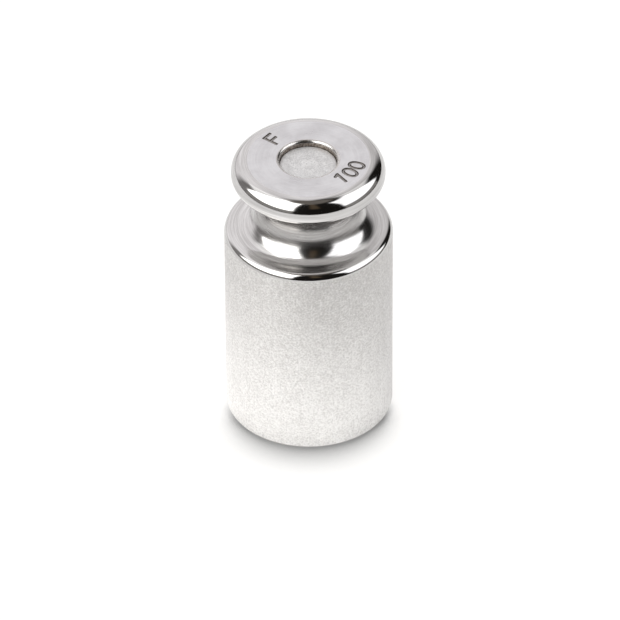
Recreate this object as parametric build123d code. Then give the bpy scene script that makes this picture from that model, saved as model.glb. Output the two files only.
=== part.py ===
"""A 100 gram knob weight: turned body, seal plug and the adjusting shot in its cavity.

Millimetres, +Z up, origin at the centre of the base.
"""

import os
from math import asin, cos, pi, radians, sin, sqrt, tan

from build123d import *

# Outside of the turned body, from the base up.
body_diameter = 22.0
base_edge_radius = 0.25
shoulder_height = 28.67
shoulder_slope = 7.5

# The polished shoulder edge starts in a crisp line round the side, leans in and rolls over.
shoulder_edge_height = 0.80
shoulder_edge_lean = 21.0
shoulder_edge_radius = 0.95

# The neck is one round groove, with a short land between its lower and upper halves.
neck_diameter = 12.7
cove_radius = 3.5
neck_land = 0.1

# The knob's underside slopes up from the groove to a rim with two roundings.
knob_diameter = 20.1
underside_slope = 32.0
rim_lower_radius = 1.45
rim_land = 0.03
rim_upper_radius = 2.1

# Bore in the knob, from the mouth down to the drilled adjusting cavity.
bore_diameter = 7.5
mouth_edge_radius = 0.42
groove_depth = 0.35
groove_width = 0.7
seat_width = 0.5
cavity_depth = 15.9
drill_point_angle = 118.0

# Seal plug, peened out into the groove once the weight is adjusted.
plug_recess = 0.8
plug_thickness = 2.0
plug_edge_radius = 0.12
plug_clearance = 0.03

# Adjusting shot: rings of balls, each in the gaps of the last, round a middle column.
shot_diameter = 2.0
shot_layers = 3
shot_clearance = 0.03

# Radii and heights that follow from the sizes above.
edge_line_height = shoulder_height - shoulder_edge_height
shoulder_radius = body_diameter / 2 - shoulder_edge_height * tan(radians(shoulder_edge_lean))
shoulder_width = shoulder_radius - neck_diameter / 2
shoulder_foot_height = shoulder_height + shoulder_width * tan(radians(shoulder_slope))
foot_reach = tan(radians(90 - shoulder_slope) / 2)
corner_reach = tan(radians(90 - underside_slope) / 2)
groove_height = cove_radius * (foot_reach + corner_reach) + neck_land
neck_corner_height = shoulder_foot_height + groove_height
underside_width = (knob_diameter - neck_diameter) / 2
rim_corner_height = neck_corner_height + underside_width * tan(radians(underside_slope))
knob_top = rim_corner_height + rim_lower_radius * corner_reach + rim_land + rim_upper_radius
plug_face = knob_top - plug_recess
plug_seat = plug_face - plug_thickness
groove_middle = plug_seat + plug_thickness / 2
bore_radius = bore_diameter / 2
cavity_radius = bore_radius - seat_width
cavity_floor = plug_seat - cavity_depth
drill_slope = radians(90 - drill_point_angle / 2)
cavity_tip = cavity_floor - cavity_radius * tan(drill_slope)


def turned(half_section):
    """Turn a half section, given as rows of radius, height and corner rounding."""
    corners = [(radius, height) for radius, height, _ in half_section]
    roundings = [rounding for _, _, rounding in half_section]
    outline = FilletPolyline(*corners, radius=roundings, close=True)
    return revolve(Plane.XZ * make_face(outline), Axis.Z)


def body():
    """One bar turned outside, then drilled, bored and grooved from the knob's top."""
    outside = [
        (0, 0, 0),
        (body_diameter / 2, 0, base_edge_radius),
        (body_diameter / 2, edge_line_height, 0),
        (shoulder_radius, shoulder_height, shoulder_edge_radius),
        (neck_diameter / 2, shoulder_foot_height, cove_radius),
        (neck_diameter / 2, neck_corner_height, cove_radius),
        (knob_diameter / 2, rim_corner_height, rim_lower_radius),
        (knob_diameter / 2, knob_top, rim_upper_radius),
    ]
    inside = [
        (bore_radius, knob_top, mouth_edge_radius),
        (bore_radius, groove_middle + groove_width / 2, 0),
        (bore_radius + groove_depth, groove_middle + groove_width / 2, 0),
        (bore_radius + groove_depth, groove_middle - groove_width / 2, 0),
        (bore_radius, groove_middle - groove_width / 2, 0),
        (bore_radius, plug_seat, 0),
        (cavity_radius, plug_seat, 0),
        (cavity_radius, cavity_floor, 0),
        (0, cavity_tip, 0),
    ]
    return turned(outside + inside)


def seal_plug():
    """Soft disc that rests on the seat, its middle spread into the groove all round."""
    plug_radius = bore_radius - plug_clearance
    bead_radius = plug_radius + groove_depth
    bead_half_width = groove_width / 2 - plug_clearance
    return turned(
        [
            (0, plug_seat, 0),
            (plug_radius, plug_seat, 0),
            (plug_radius, groove_middle - bead_half_width, 0),
            (bead_radius, groove_middle - bead_half_width, 0),
            (bead_radius, groove_middle + bead_half_width, 0),
            (plug_radius, groove_middle + bead_half_width, 0),
            (plug_radius, plug_face, plug_edge_radius),
            (0, plug_face, 0),
        ]
    )


def shot_places():
    """Centres of the balls, the lowest of them on the drill point's cone."""
    pitch = shot_diameter + shot_clearance
    ring_radius = cavity_radius - pitch / 2
    around = int(pi / asin(pitch / 2 / ring_radius))
    sideways = 2 * ring_radius * sin(pi / around / 2)
    ring_rise = sqrt(pitch**2 - sideways**2)
    column_start = cavity_tip + pitch / 2 / cos(drill_slope)
    ring_start = column_start + ring_radius * tan(drill_slope)
    places = []
    for layer in range(shot_layers):
        for ball in range(around):
            turn = 2 * pi * (ball + layer / 2) / around
            height = ring_start + layer * ring_rise
            places.append((ring_radius * cos(turn), ring_radius * sin(turn), height))
        if ring_radius >= pitch:
            places.append((0, 0, column_start + layer * pitch))
    return places


def adjusting_shot():
    """One steel ball at each place."""
    return [Pos(*place) * Sphere(shot_diameter / 2) for place in shot_places()]


nodes = {"body": body(), "seal_plug": seal_plug()}
for number, ball in enumerate(adjusting_shot(), start=1):
    nodes[f"adjusting_shot_{number:02d}"] = ball

os.makedirs("parts", exist_ok=True)
for name, shape in nodes.items():
    shape.label = name
    export_step(shape, f"parts/{name}.step")
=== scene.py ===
"""Looks of a 100 gram knob weight: blasted and polished steel body, peened seal plug, ball shot."""
import math
from collections import namedtuple

import bmesh
import bpy
from mathutils import Matrix, Vector
from mathutils.geometry import delaunay_2d_cdt


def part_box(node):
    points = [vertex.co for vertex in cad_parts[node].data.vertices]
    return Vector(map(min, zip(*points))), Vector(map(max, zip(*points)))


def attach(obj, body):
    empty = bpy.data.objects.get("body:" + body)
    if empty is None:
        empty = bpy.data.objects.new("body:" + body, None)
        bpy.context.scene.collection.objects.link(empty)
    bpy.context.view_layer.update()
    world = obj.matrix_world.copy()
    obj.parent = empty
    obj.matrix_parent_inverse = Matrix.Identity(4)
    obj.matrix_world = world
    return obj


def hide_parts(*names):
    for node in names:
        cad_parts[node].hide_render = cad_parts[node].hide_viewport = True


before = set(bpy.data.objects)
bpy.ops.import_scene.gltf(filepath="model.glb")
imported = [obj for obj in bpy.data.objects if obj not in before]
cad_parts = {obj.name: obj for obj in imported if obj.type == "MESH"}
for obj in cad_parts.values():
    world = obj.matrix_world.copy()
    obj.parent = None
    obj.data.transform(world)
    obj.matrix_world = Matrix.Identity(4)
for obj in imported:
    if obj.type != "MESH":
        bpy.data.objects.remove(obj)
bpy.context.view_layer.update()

# ---------------------------------------------------------------- the turned body
# One bar of stainless steel, turned outside, then drilled, bored and grooved
# from the knob's top. The side is blasted matt, the knob's top keeps its faced
# lines, and the groove, the rim and the shoulder's edge are polished over the turning.
mm = 0.001
body_low, body_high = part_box("body")
body_radius = body_high.x / mm
knob_top = body_high.z / mm
base_edge = 0.25
shoulder_height = 28.67
shoulder_slope = math.radians(7.5)
shoulder_edge_height = 0.80
shoulder_edge_lean = math.radians(21)
shoulder_edge = 0.95
neck_radius = 6.35
neck_land = 0.1
cove = 3.5
knob_radius = 10.05
underside_slope = math.radians(32)
rim_lower = 1.45
rim_upper = 2.1
edge_line_height = shoulder_height - shoulder_edge_height
shoulder_radius = body_radius - shoulder_edge_height * math.tan(shoulder_edge_lean)
shoulder_foot = shoulder_height + (shoulder_radius - neck_radius) * math.tan(shoulder_slope)
foot_reach = math.tan((math.pi / 2 - shoulder_slope) / 2)
corner_reach = math.tan((math.pi / 2 - underside_slope) / 2)
neck_corner = shoulder_foot + cove * (foot_reach + corner_reach) + neck_land
rim_corner = neck_corner + (knob_radius - neck_radius) * math.tan(underside_slope)

bore_radius = 3.75
mouth_edge = 0.42
recess_depth = 0.8
plug_thickness = 2.0
seal_groove_half = 0.35
seal_groove_depth = 0.35
seat_width = 0.5
cavity_depth = 15.9
drill_point = math.radians(31)
plug_face = knob_top - recess_depth
plug_seat = plug_face - plug_thickness
seal_groove_middle = plug_seat + plug_thickness / 2
cavity_radius = bore_radius - seat_width
cavity_floor = plug_seat - cavity_depth
cavity_tip = cavity_floor - cavity_radius * math.tan(drill_point)

base_level = 0.01
around = 360
steps_per_rounding = 18
smooth_below = math.radians(28)


def rounded(corners, steps=steps_per_rounding, closed=False):
    """Points along an outline given as rows of x, y and the rounding of that corner."""
    points = []
    count = len(corners)
    for i, (x, y, rounding) in enumerate(corners):
        here = Vector((x, y))
        if rounding == 0 or (not closed and i in (0, count - 1)):
            points.append((x, y))
            continue
        back = (Vector(corners[i - 1][:2]) - here).normalized()
        ahead = (Vector(corners[(i + 1) % count][:2]) - here).normalized()
        half = back.angle(ahead) / 2
        centre = here + (back + ahead).normalized() * rounding / math.sin(half)
        start = here + back * rounding / math.tan(half) - centre
        end = here + ahead * rounding / math.tan(half) - centre
        sweep = math.atan2(start.x * end.y - start.y * end.x, start.dot(end))
        for step in range(steps + 1):
            turn = sweep * step / steps
            c, s = math.cos(turn), math.sin(turn)
            spoke = Vector((start.x * c - start.y * s, start.x * s + start.y * c))
            points.append(tuple(centre + spoke))
    return points


def circle(radius, height):
    """Corners of one ring of the lathe work, in metres."""
    turns = [2 * math.pi * i / around for i in range(around)]
    return [Vector((radius * math.cos(t), radius * math.sin(t), height)) * mm for t in turns]


def spin(mesh, outline, slot=0):
    """Adds the surface that an outline of radius and height sweeps about the axis."""
    rings = []
    for radius, height in outline:
        if radius < 1e-6:
            rings.append([mesh.verts.new((0, 0, height * mm))] * around)
        else:
            rings.append([mesh.verts.new(p) for p in circle(radius, height)])
    for low, high in zip(rings, rings[1:]):
        for i in range(around):
            j = (i + 1) % around
            corners = list(dict.fromkeys((low[i], low[j], high[j], high[i])))
            mesh.faces.new(corners).material_index = slot


def finish_mesh(name, mesh, *materials):
    """Makes a smooth-shaded object of the mesh, in which only the machined edges stay sharp."""
    loose = [corner for corner in mesh.verts if not corner.link_faces]
    bmesh.ops.delete(mesh, geom=loose, context="VERTS")
    bmesh.ops.remove_doubles(mesh, verts=mesh.verts, dist=1e-8)
    bmesh.ops.recalc_face_normals(mesh, faces=mesh.faces)
    for face in mesh.faces:
        face.smooth = True
    for edge in mesh.edges:
        edge.smooth = len(edge.link_faces) == 2 and edge.calc_face_angle(0) < smooth_below
    data = bpy.data.meshes.new(name)
    mesh.to_mesh(data)
    mesh.free()
    for material in materials:
        data.materials.append(material)
    piece = bpy.data.objects.new(name, data)
    bpy.context.scene.collection.objects.link(piece)
    return piece


# The marks are cut into the knob's top with a small end mill: a flat floor
# between steep walls. The nominal value reads round the rim from the front, and
# the class letter stands with its head outward on the far side.
mark_depth = 0.13
wall_run = 0.14
stroke = 0.44
corner_round = 0.10
floor_round = corner_round / 3
steps_per_mark_corner = 5
number_tilt = math.radians(-8)
letter_tilt = math.radians(5.4)
zero_half_width, zero_half_height = 0.82, 1.2
zero_fullness = 0.9
one_corners = [
    (0.09, -1.12), (0.51, -1.12), (0.51, 1.12), (0.2, 1.12), (-0.51, 0.68), (-0.33, 0.32), (0.09, 0.55),
]
letter_half_width, letter_half_height = 0.81, 1.2
stem_side = stroke - letter_half_width
top_bar_low = letter_half_height - stroke
middle_bar_low, middle_bar_high, middle_bar_end = -0.26, 0.18, 0.7
letter_corners = [
    (-letter_half_width, -letter_half_height), (stem_side, -letter_half_height),
    (stem_side, middle_bar_low), (middle_bar_end, middle_bar_low),
    (middle_bar_end, middle_bar_high), (stem_side, middle_bar_high),
    (stem_side, top_bar_low), (letter_half_width, top_bar_low),
    (letter_half_width, letter_half_height), (-letter_half_width, letter_half_height),
]
# Each mark's kind, its distance from the axis, and its direction from it in degrees.
number_places = (("one", 5.8, -45.8), ("zero", 6.13, -28.0), ("zero", 6.43, -12.7))
letter_place = ("letter", 6.255, 137)


def offset_corners(corners, distance):
    """Moves every side of a closed anticlockwise outline inward by the distance."""
    moved = []
    count = len(corners)
    for i, (x, y) in enumerate(corners):
        here = Vector((x, y))
        into = (here - Vector(corners[i - 1])).normalized()
        out = (Vector(corners[(i + 1) % count]) - here).normalized()
        side_in, side_out = Vector((-into.y, into.x)), Vector((-out.y, out.x))
        bisector = side_in + side_out
        moved.append(tuple(here + bisector * distance * 2 / bisector.length_squared))
    return moved


def cut_outline(corners, inset, rounding):
    """A polygon mark's outline at the top face or, inset, at the floor of the cut."""
    rows = [(x, y, rounding) for x, y in offset_corners(corners, inset)]
    return rounded(rows, steps=steps_per_mark_corner, closed=True)


def oval(half_width, half_height, points=72):
    """A slightly squared oval, as the cutter's path for a zero."""
    outline = []
    for i in range(points):
        turn = 2 * math.pi * i / points
        c, s = math.cos(turn), math.sin(turn)
        x = math.copysign(abs(c) ** zero_fullness, c) * half_width
        y = math.copysign(abs(s) ** zero_fullness, s) * half_height
        outline.append((x, y))
    return outline


def mark_loops(kind):
    """Loops of a mark as pairs: the outline at the top face, and the same at the floor."""
    if kind == "zero":
        loops = []
        for at_top, at_floor in ((0, wall_run), (stroke, stroke - wall_run)):
            top = oval(zero_half_width - at_top, zero_half_height - at_top)
            floor = oval(zero_half_width - at_floor, zero_half_height - at_floor)
            loops.append((top, floor))
        return loops
    corners = one_corners if kind == "one" else letter_corners
    return [(cut_outline(corners, 0, corner_round), cut_outline(corners, wall_run, floor_round))]


def placed(points, radius, angle, up):
    """Turns a mark to its upward direction and moves it to its place on the knob."""
    centre = Vector((math.cos(angle), math.sin(angle))) * radius
    upward = Vector((math.cos(up), math.sin(up)))
    rightward = Vector((upward.y, -upward.x))
    return [tuple(centre + rightward * x + upward * y) for x, y in points]


marks = []
for kind, radius, degrees in number_places:
    angle = math.radians(degrees)
    marks.append((kind, radius, angle, angle + math.pi + number_tilt))
kind, radius, degrees = letter_place
angle = math.radians(degrees)
marks.append((kind, radius, angle, angle + letter_tilt))


def holds(loop, point):
    """Whether a point lies inside a closed loop."""
    inside = False
    x, y = point
    for (x0, y0), (x1, y1) in zip(loop, loop[1:] + loop[:1]):
        if (y0 > y) != (y1 > y) and x < (x1 - x0) * (y - y0) / (y1 - y0) + x0:
            inside = not inside
    return inside


def fill(mesh, loops, height, wanted, slot):
    """Triangulates the flat between loops where wanted(point) holds, and returns the loops' corners."""
    flat = [Vector(p) for loop in loops for p in loop]
    edges = []
    start = 0
    for loop in loops:
        count = len(loop)
        edges += [(start + i, start + (i + 1) % count) for i in range(count)]
        start += count
    points, _, triangles, sources, _, _ = delaunay_2d_cdt(flat, edges, [], 0, 1e-7)
    corners = [mesh.verts.new((p.x * mm, p.y * mm, height * mm)) for p in points]
    for triangle in triangles:
        middle = sum((points[i] for i in triangle), Vector((0, 0))) / 3
        if wanted(middle):
            mesh.faces.new([corners[i] for i in triangle]).material_index = slot
    found = {source: corner for corner, group in zip(corners, sources) for source in group}
    return [found[i] for i in range(len(flat))]


def cut_marks(mesh, outer_radius, inner_radius, face_slot, mark_slot):
    """Fills the knob's flat top round the marks, and sinks each mark's walls and floor."""
    groups = []
    for kind, radius, angle, up in marks:
        groups.append([[placed(loop, radius, angle, up) for loop in pair] for pair in mark_loops(kind)])
    tops = [pair[0] for group in groups for pair in group]

    def on_top(point):
        cut = any(sum(holds(pair[0], point) for pair in group) == 1 for group in groups)
        return inner_radius < point.length < outer_radius and not cut

    rims = [[(p.x / mm, p.y / mm) for p in circle(radius, 0)] for radius in (outer_radius, inner_radius)]
    high = fill(mesh, rims + tops, knob_top, on_top, face_slot)[2 * around:]
    for group in groups:
        floors = [pair[1] for pair in group]

        def on_floor(point, floors=floors):
            return sum(holds(loop, point) for loop in floors) == 1

        low = fill(mesh, floors, knob_top - mark_depth, on_floor, mark_slot)
        for loop in floors:
            count = len(loop)
            for i in range(count):
                j = (i + 1) % count
                mesh.faces.new((high[i], high[j], low[j], low[i])).material_index = mark_slot
            high, low = high[count:], low[count:]


class Wire:
    """A socket of a shader; arithmetic on it adds Math nodes to the same tree."""

    def __init__(self, tree, socket=None):
        self.tree = tree
        self.socket = socket

    def node(self, kind, settings=None, inputs=None, output=0):
        """Adds one node: its settings first, then its sockets' values or links."""
        made = self.tree.nodes.new("ShaderNode" + kind)
        for name, value in (settings or {}).items():
            setattr(made, name, value)
        for name, value in (inputs or {}).items():
            if isinstance(value, Wire):
                self.tree.links.new(value.socket, made.inputs[name])
            else:
                made.inputs[name].default_value = value
        return Wire(self.tree, made.outputs[output]) if made.outputs else None

    def also(self, name):
        """Another output of the node that this wire comes from."""
        return Wire(self.tree, self.socket.node.outputs[name])

    def math(self, operation, *values):
        """A Math node; the wire's own value comes first where it has one."""
        values = ([self] if self.socket else []) + list(values)
        return self.node("Math", {"operation": operation}, dict(enumerate(values)))

    def __add__(self, other):
        return self.math("ADD", other)

    __radd__ = __add__

    def __sub__(self, other):
        return self.math("SUBTRACT", other)

    def __rsub__(self, other):
        return self.math("MULTIPLY", -1).math("ADD", other)

    def __mul__(self, other):
        return self.math("MULTIPLY", other)

    __rmul__ = __mul__

    def __truediv__(self, other):
        return self.math("DIVIDE", other)

    def rise(self, low, high):
        """0 below low, 1 above high, and a smooth step between."""
        settings = {"interpolation_type": "SMOOTHSTEP"}
        return self.node("MapRange", settings, {"Value": self, "From Min": low, "From Max": high})

    def between(self, low, high, soft):
        """1 from low to high and 0 outside, with soft edges centred on both."""
        up = self.rise(low - soft / 2, low + soft / 2)
        return up * (1 - self.rise(high - soft / 2, high + soft / 2))

    def blend(self, low, high):
        """Mixes two colours by this factor."""
        return self.node("Mix", {"data_type": "RGBA"}, {"Factor": self, 6: low, 7: high}, output=2)


def new_material(name):
    """An empty material, and a wire on its tree to build from."""
    material = bpy.data.materials.new(name)
    material.use_nodes = True
    material.node_tree.nodes.clear()
    return material, Wire(material.node_tree)


def metal(tree, colour, roughness, relief, depth):
    """Ends a material in one metal shader, its relief from 0 to 1 raised to a depth in metres."""
    bump = tree.node("Bump", None, {"Strength": 1.0, "Distance": depth, "Height": relief})
    inputs = {"Base Color": colour, "Roughness": roughness, "Metallic": 1.0, "Normal": bump}
    shader = tree.node("BsdfPrincipled", None, inputs)
    tree.node("OutputMaterial", None, {"Surface": shader})


Spot = namedtuple("Spot", "place x y radius height turn")


def spot_on(tree):
    """Where a point lies: its raw place, then in millimetres, and last its turn about the axis."""
    place = tree.node("TexCoord", None, None, output="Object")
    raw_x = tree.node("SeparateXYZ", None, {0: place})
    x, y, height = raw_x / mm, raw_x.also("Y") / mm, raw_x.also("Z") / mm
    return Spot(place, x, y, (x * x + y * y).math("SQRT"), height, y.math("ARCTAN2", x))


def noise(tree, at, scale, detail=2.0, rough=0.5):
    """Smooth noise from about 0 to 1, with its scale in cells per metre."""
    inputs = {"Vector": at, "Scale": scale, "Detail": detail, "Roughness": rough}
    return tree.node("TexNoise", None, inputs)


def drawn_out(tree, place, share):
    """The place with its height shrunk to a share, which draws a texture out into upright streaks."""
    return tree.node("VectorMath", {"operation": "MULTIPLY"}, {0: place, 1: (1, 1, share)})


def tool_lines(tree, spot, pitch, seed):
    """Lines that a turning tool leaves round the work, each changing slowly on its way round."""
    drift = 1.5
    right, back = spot.turn.math("COSINE") * drift, spot.turn.math("SINE") * drift
    across = {"X": spot.radius / pitch, "Y": spot.height / pitch, "Z": right + seed}
    at = tree.node("CombineXYZ", None, across)
    inputs = {"Vector": at, "W": back, "Scale": 1.0, "Detail": 3.0, "Roughness": 0.6}
    return tree.node("TexNoise", {"noise_dimensions": "4D"}, inputs)


def blasted_steel():
    """The side: a fine even field of craters, its colour a little darker toward the shoulder as painted
    shade.
    """
    material, tree = new_material("blasted_steel")
    crater_floor, crater_rim = (0.58, 0.565, 0.55, 1), (0.88, 0.87, 0.855, 1)
    crater_depth = 0.00012
    spot = spot_on(tree)
    grain = noise(tree, spot.place, 3900, detail=3.0, rough=0.62)
    clouds = noise(tree, spot.place, 500, detail=4.0, rough=0.6)
    drawn = noise(tree, drawn_out(tree, spot.place, 0.02), 2400, detail=2.0)
    # Painted shade: the side's colour darkens from its foot up to the shoulder.
    painted_shade_toward_top = spot.height.rise(2.0, 27.0)
    tone = grain * 0.76 + clouds * 0.16 + drawn * 0.08 + 0.05 - painted_shade_toward_top * 0.11
    colour = tone.rise(0.3, 0.7).blend(crater_floor, crater_rim)
    metal(tree, colour, 0.42 + clouds * 0.1, grain * 0.85 + clouds * 0.15, crater_depth)
    return material


def polished_steel():
    """Rim and rounded edges: felt-polished. The groove is duller, and still shows its turning lines; on the
    neck under the knob, and most in the corner there, its colour is darkened as painted shade.
    """
    material, tree = new_material("polished_steel")
    # The turning lines take the colour only halfway to the dark end; the painted shade under the knob takes
    # it further.
    film_and_painted_shade, clean_steel = (0.22, 0.205, 0.195, 1), (0.72, 0.71, 0.70, 1)
    line_pitch, band_pitch, line_depth = 0.11, 0.45, 0.000026
    spot = spot_on(tree)
    lines = tool_lines(tree, spot, line_pitch, 2.0)
    bands = tool_lines(tree, spot, band_pitch, 5.0)
    faint = noise(tree, spot.place, 900, detail=2.0)
    within_ledge = 1 - spot.radius.rise(shoulder_radius - 0.79, shoulder_radius - 0.39)
    groove = spot.height.between(shoulder_height + 0.13, rim_corner - 0.66, 0.4) * within_ledge
    neck = groove * (1 - spot.radius.rise(neck_radius + 0.35, neck_radius + 0.95))
    on_ledge = spot.radius.rise(shoulder_radius - 1.79, shoulder_radius - 1.09)
    ledge = groove * on_ledge * (1 - spot.height.rise(shoulder_foot + 0.76, shoulder_foot + 1.76))
    # Painted shade in the corner under the knob.
    painted_shade_in_corner = neck * spot.height.rise(neck_corner - 1.45, neck_corner - 0.85)
    tone = (lines * 0.5 + bands * 0.5).rise(0.3, 0.7) * 0.5 + 0.5
    # Painted shade: the colour is darkened on the neck under the knob, and more in its corner.
    colour = (tone - neck * 0.3 - painted_shade_in_corner * 0.35).blend(film_and_painted_shade, clean_steel)
    roughness = 0.07 + groove * (0.03 + bands * 0.06) + ledge * 0.16 + neck * 0.12 + faint * 0.03
    strength = 0.04 + groove * 0.34 + neck * 0.5 + ledge * 0.6
    metal(tree, colour, roughness, (lines * 0.5 + bands * 0.5) * strength, line_depth)
    return material


def faced_steel():
    """The knob's top and the base: the close spiral of a facing tool, dulled by handling."""
    material, tree = new_material("faced_steel")
    dulled, bright = (0.56, 0.55, 0.555, 1), (0.71, 0.705, 0.71, 1)
    line_pitch, band_pitch, line_depth = 0.09, 0.5, 0.000003
    spot = spot_on(tree)
    lines = tool_lines(tree, spot, line_pitch, 7.0)
    bands = tool_lines(tree, spot, band_pitch, 9.0)
    handling = noise(tree, spot.place, 300, detail=5.0, rough=0.65)
    tone = lines * 0.25 + bands * 0.15 + handling * 0.6
    colour = tone.rise(0.34, 0.66).blend(dulled, bright)
    roughness = 0.2 + handling * 0.14 + lines * 0.06
    metal(tree, colour, roughness, lines * 0.6 + bands * 0.4, line_depth)
    return material


def bored_steel():
    """The bore's wall: torn a little by the boring bar and browned by old oil; its lip is cleaner."""
    material, tree = new_material("bored_steel")
    old_oil, thin_oil = (0.14, 0.112, 0.095, 1), (0.36, 0.315, 0.275, 1)
    rubbed, clean = (0.42, 0.39, 0.36, 1), (0.64, 0.625, 0.61, 1)
    chatter_depth = 0.000008
    spot = spot_on(tree)
    lip = spot.height.rise(knob_top - 0.38, knob_top - 0.26)
    chatter = noise(tree, drawn_out(tree, spot.place, 0.25), 8000, detail=3.0)
    brown = chatter.rise(0.35, 0.65).blend(old_oil, thin_oil)
    edge = chatter.rise(0.3, 0.6).blend(rubbed, clean)
    metal(tree, lip.blend(brown, edge), 0.40 - lip * 0.2, chatter, chatter_depth)
    return material


def marked_steel():
    """Cut marks: oxide-brown walls and a paler, brighter floor."""
    material, tree = new_material("marked_steel")
    dark_oxide, pale_oxide = (0.035, 0.03, 0.026, 1), (0.085, 0.073, 0.065, 1)
    dull_floor, bright_floor = (0.26, 0.245, 0.235, 1), (0.42, 0.40, 0.39, 1)
    tear_depth = 0.000005
    floor_height = knob_top - mark_depth
    spot = spot_on(tree)
    wall = spot.height.rise(floor_height + 0.004, floor_height + 0.03)
    ragged = noise(tree, spot.place, 9000, detail=2.0)
    oxide = ragged.rise(0.3, 0.7).blend(dark_oxide, pale_oxide)
    milled = ragged.rise(0.3, 0.7).blend(dull_floor, bright_floor)
    metal(tree, wall.blend(milled, oxide), 0.55, ragged, tear_depth)
    return material


finishes = [blasted_steel(), polished_steel(), faced_steel(), bored_steel(), marked_steel()]
blasted, polished, faced, bored, marked = range(len(finishes))

turned_outline = rounded([
    (0, 0, 0),
    (body_radius, 0, base_edge),
    (body_radius, edge_line_height, 0),
    (shoulder_radius, shoulder_height, shoulder_edge),
    (neck_radius, shoulder_foot, cove),
    (neck_radius, neck_corner, cove),
    (knob_radius, rim_corner, rim_lower),
    (knob_radius, knob_top, rim_upper),
    (knob_radius - rim_upper, knob_top, 0),
])
bored_outline = rounded([
    (bore_radius + mouth_edge, knob_top, 0),
    (bore_radius, knob_top, mouth_edge),
    (bore_radius, seal_groove_middle + seal_groove_half, 0),
    (bore_radius + seal_groove_depth, seal_groove_middle + seal_groove_half, 0),
    (bore_radius + seal_groove_depth, seal_groove_middle - seal_groove_half, 0),
    (bore_radius, seal_groove_middle - seal_groove_half, 0),
    (bore_radius, plug_seat, 0),
    (cavity_radius, plug_seat, 0),
    (cavity_radius, cavity_floor, 0),
    (0, cavity_tip, 0),
])


def turned_finish(height):
    """Which finish a stretch of the outside has, by the height of its middle."""
    if height < base_level:
        return faced
    if base_edge < height < edge_line_height:
        return blasted
    return polished


def build_body():
    """Spins the outside stretch by stretch, fills the marked top and spins the bore."""
    mesh = bmesh.new()
    for start, end in zip(turned_outline, turned_outline[1:]):
        spin(mesh, [start, end], turned_finish((start[1] + end[1]) / 2))
    cut_marks(mesh, knob_radius - rim_upper, bore_radius + mouth_edge, faced, marked)
    spin(mesh, bored_outline, bored)
    return finish_mesh("turned_body", mesh, *finishes)


turned_body = build_body()
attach(turned_body, "root")
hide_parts("body")

# ---------------------------------------------------------------- the seal plug
# A disc of soft white metal, dropped on the seat and hammered until its edge
# spreads into the groove; its face is left dull, pitted and not quite flat.
plug_clearance = 0.03
plug_radius = bore_radius - plug_clearance
plug_edge = 0.12
plug_wave = 0.012
ring_step = 0.15
bead_radius = plug_radius + seal_groove_depth
bead_half = seal_groove_half - plug_clearance


def peened_metal():
    """Soft white metal, peened: a dull grey bloom, brighter round the edge, with dark pits."""
    material, tree = new_material("peened_metal")
    bloom, bright, pit_dirt = (0.60, 0.595, 0.59, 1), (0.84, 0.835, 0.83, 1), (0.22, 0.205, 0.195, 1)
    dent_depth = 0.000012
    spot = spot_on(tree)
    mottle = noise(tree, spot.place, 1300, detail=5.0, rough=0.7)
    grain = noise(tree, spot.place, 6500, detail=2.0)
    cells = tree.node("TexVoronoi", None, {"Vector": spot.place, "Scale": 4200.0})
    pits = (1 - cells.rise(0.1, 0.36)) * (grain * 0.5 + mottle * 0.5).rise(0.44, 0.56)
    tone = (mottle * 0.5 + grain * 0.5).rise(0.36, 0.64)
    dirt = pits * (0.85 - spot.radius.rise(1.6, 3.2) * 0.5)
    colour = dirt.blend(tone.blend(bloom, bright), pit_dirt)
    metal(tree, colour, 0.55 + mottle * 0.1, mottle - pits * 0.5, dent_depth)
    return material


def hammered(x, y):
    """How far the face lies from its full height: overlapping waves, always a little under it."""
    wave = math.sin(2.1 * x + 0.7) * math.cos(1.7 * y - 0.4) + 0.5 * math.sin(4.3 * y + 2.9 * x)
    return (wave - 1.5) * plug_wave


def build_plug():
    """The disc, with rings close enough to carry the hammered waviness of its face."""
    ring_count = int((plug_radius - plug_edge) / ring_step)
    rings = [ring_step * i for i in range(1, ring_count)]
    outline = rounded([
        (0, plug_seat, 0),
        (plug_radius, plug_seat, 0),
        (plug_radius, seal_groove_middle - bead_half, 0),
        (bead_radius, seal_groove_middle - bead_half, 0),
        (bead_radius, seal_groove_middle + bead_half, 0),
        (plug_radius, seal_groove_middle + bead_half, 0),
        (plug_radius, plug_face, plug_edge),
        (rings[-1], plug_face, 0),
    ])
    outline += [(radius, plug_face) for radius in reversed(rings[:-1])] + [(0, plug_face)]
    mesh = bmesh.new()
    spin(mesh, outline)
    for vertex in mesh.verts:
        x, y, z = vertex.co / mm
        if z > plug_face - plug_edge:
            vertex.co.z += hammered(x, y) * mm
    return finish_mesh("peened_plug", mesh, peened_metal())


peened_plug = build_plug()
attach(peened_plug, "root")
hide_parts("seal_plug")

# ---------------------------------------------------------------- the adjusting shot
# Hardened steel balls that fill part of the cavity under the plug; they are
# added or taken out to bring the weight to its value.
shot_count = 21


def shot_steel():
    """Tumbled balls: bright with small dents and a grey bloom."""
    material, tree = new_material("shot_steel")
    dull, bright = (0.50, 0.49, 0.48, 1), (0.66, 0.65, 0.64, 1)
    dent_depth = 0.000002
    spot = spot_on(tree)
    bloom = noise(tree, spot.place, 1500, detail=3.0)
    dents = noise(tree, spot.place, 6000, detail=2.0)
    colour = bloom.rise(0.35, 0.7).blend(dull, bright)
    metal(tree, colour, 0.18 + bloom * 0.12, dents, dent_depth)
    return material


tumbled = shot_steel()
for number in range(1, shot_count + 1):
    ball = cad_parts[f"adjusting_shot_{number:02d}"]
    ball.data.materials.clear()
    ball.data.materials.append(tumbled)

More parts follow.
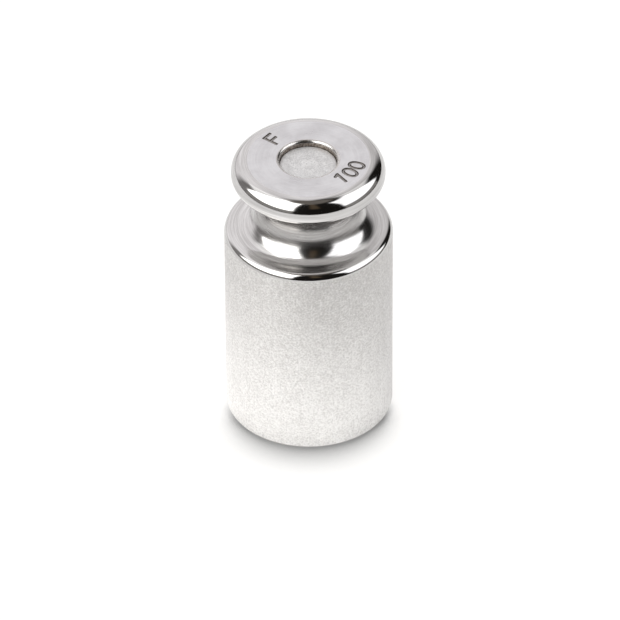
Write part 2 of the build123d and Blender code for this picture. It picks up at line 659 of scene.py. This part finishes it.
# ---------------------------------------------------------------- table, light and camera
# The weight stands on a white table in a white studio, between two large
# softboxes, with the dark of the room behind the camera.
table_radius = 2000
table_drop = 0.02
# The reach, rays and shade numbers set the painted shadow at the weight's foot; the pool numbers set the
# painted pool of light.
contact_reach = 8.0
shade_rays = 16
shade_gain, shade_steepness, shade_darkness = 2.3, 1.5, 0.8
table_glow = 0.92
pool_x, pool_y = -16, -16
pool_inner, pool_outer = 16, 60
white, black = (1, 1, 1, 1), (0, 0, 0, 1)


def build_table():
    """A glowing white disc: white to the camera but for a painted shadow at the weight's foot, with a
    painted pool of light in reflections.
    """
    mesh = bmesh.new()
    bmesh.ops.create_circle(mesh, cap_ends=True, segments=64, radius=table_radius * mm)
    data = bpy.data.meshes.new("table")
    mesh.to_mesh(data)
    mesh.free()
    material, tree = new_material("white_table")
    paper, grey_paper, warm_white = (0.80, 0.80, 0.80, 1), (0.15, 0.15, 0.15, 1), (1.0, 0.99, 0.975, 1)
    seen = tree.node("LightPath", None, None, output="Is Camera Ray")
    mirrored = seen.also("Is Glossy Ray")
    reach = {"Distance": contact_reach * mm}
    open_sky = tree.node("AmbientOcclusion", {"samples": shade_rays}, reach, output="AO")
    spot = spot_on(tree)
    # Painted shadow: darkness worked out from how much of the surroundings the weight hides, put on the
    # front half of its foot, widest straight in front and drawn in steeply toward the sides.
    toward_front = (spot.turn.math("SINE") * -1).math("MAXIMUM", 0.1)
    steepness = toward_front.math("POWER", -1.5) * shade_steepness
    painted_shadow = ((1 - open_sky) * shade_gain).math("MINIMUM", 1).math("POWER", steepness)
    painted_shadow = painted_shadow * toward_front.rise(0.05, 0.5)
    # Painted pool of light, seen only in reflections, centred to the left of the weight and in front of it.
    aside, along = spot.x - pool_x, spot.y - pool_y
    painted_light_pool = 1 - (aside * aside + along * along).math("SQRT").rise(pool_inner, pool_outer)
    # The camera sees the glow darkened by the painted shadow. Reflections see a dim glow with the painted
    # pool of light and less painted shadow.
    to_camera = seen * (1 - painted_shadow * shade_darkness) * table_glow
    to_mirror = mirrored * (0.05 + painted_light_pool * 0.42 - painted_shadow * 0.25)
    inputs = {
        "Base Color": seen.blend(paper, grey_paper),
        "Roughness": 1.0,
        "Specular IOR Level": 0.0,
        "Emission Color": (to_camera + to_mirror).blend(black, warm_white),
        "Emission Strength": 1.0,
    }
    shader = tree.node("BsdfPrincipled", None, inputs)
    tree.node("OutputMaterial", None, {"Surface": shader})
    data.materials.append(material)
    table = bpy.data.objects.new("table", data)
    table.location.z = -table_drop * mm
    bpy.context.scene.collection.objects.link(table)


build_table()

# Each light panel: azimuth from and to, to the right of straight behind, then
# elevation from and to, softness of the edges (all in degrees), and its colour.
room_dark = (0.011, 0.01, 0.009)
panels = (
    (-158, -80, 20, 76, 6, (3.1, 3.1, 3.06)),  # left softbox
    (60, 128, 18, 67, 6, (1.97, 1.98, 2.02)),  # right softbox
    (-58, 8, 0, 72, 16, (1.05, 1.03, 1.05)),  # backdrop
    (8, 32, 0, 66, 16, (0.78, 0.765, 0.775)),  # backdrop, where it falls off to the right
    (-80, -55, 42, 76, 10, (1.2, 1.2, 1.2)),  # wall between the backdrop and the left softbox
    (-84, -58, 0, 40, 10, (0.26, 0.25, 0.25)),  # the same wall's shaded foot
    (30, 62, 46, 68, 10, (1.0, 1.0, 1.0)),  # wall between the backdrop and the right softbox
    (-158, -84, 2, 18, 6, (0.30, 0.29, 0.28)),  # wall under the left softbox
    (66, 128, 2, 16, 6, (0.30, 0.29, 0.28)),  # wall under the right softbox
    (-200, 200, 74, 100, 8, (0.17, 0.155, 0.14)),  # ceiling
    (162, 177, 40, 74, 8, (0.09, 0.065, 0.04)),  # a warm glint above the camera
)


def build_world():
    """The panels as soft rectangles of light all round; the camera itself sees plain white."""
    world = bpy.data.worlds.new("studio")
    bpy.context.scene.world = world
    world.use_nodes = True
    world.node_tree.nodes.clear()
    tree = Wire(world.node_tree)
    way = tree.node("TexCoord", None, None, output="Generated")
    x = tree.node("SeparateXYZ", None, {0: way})
    y, z = x.also("Y"), x.also("Z")
    azimuth = x.math("ARCTAN2", y)
    elevation = z.math("ARCSINE")
    light = tree.node("CombineColor", None, dict(enumerate(room_dark)))
    for start, end, low, high, soft, colour in panels:
        start, end, low, high, soft = (math.radians(a) for a in (start, end, low, high, soft))
        inside = azimuth.between(start, end, soft) * elevation.between(low, high, soft)
        panel = inside.blend(black, (*colour, 1))
        light = tree.node("VectorMath", {"operation": "ADD"}, {0: light, 1: panel})
    shown = tree.node("LightPath", None, None, output="Is Camera Ray")
    sky = tree.node("Background", None, {"Color": shown.blend(light, white), "Strength": 1.0})
    tree.node("OutputWorld", None, {"Surface": sky})


build_world()

camera_place = (0.139, -824.317, 682.274)
camera_elevation = math.radians(39.0145)
camera_roll = math.radians(-0.2806)
focal_length = 468.49
sensor_width = 36.0


def build_camera():
    """A long lens looking down at the weight, turned very slightly about its own axis."""
    data = bpy.data.cameras.new("camera")
    data.sensor_width = sensor_width
    data.lens = focal_length
    data.clip_start = 0.05
    data.clip_end = 20
    camera = bpy.data.objects.new("camera", data)
    right = Vector((1, 0, 0))
    upward = Vector((0, math.sin(camera_elevation), math.cos(camera_elevation)))
    backward = right.cross(upward)
    rolled_right = right * math.cos(camera_roll) + upward * math.sin(camera_roll)
    rolled_up = upward * math.cos(camera_roll) - right * math.sin(camera_roll)
    turned = Matrix((rolled_right, rolled_up, backward)).transposed().to_4x4()
    camera.matrix_world = Matrix.Translation(Vector(camera_place) * mm) @ turned
    bpy.context.scene.collection.objects.link(camera)
    bpy.context.scene.camera = camera


build_camera()

bpy.context.scene.view_settings.view_transform = "Standard"
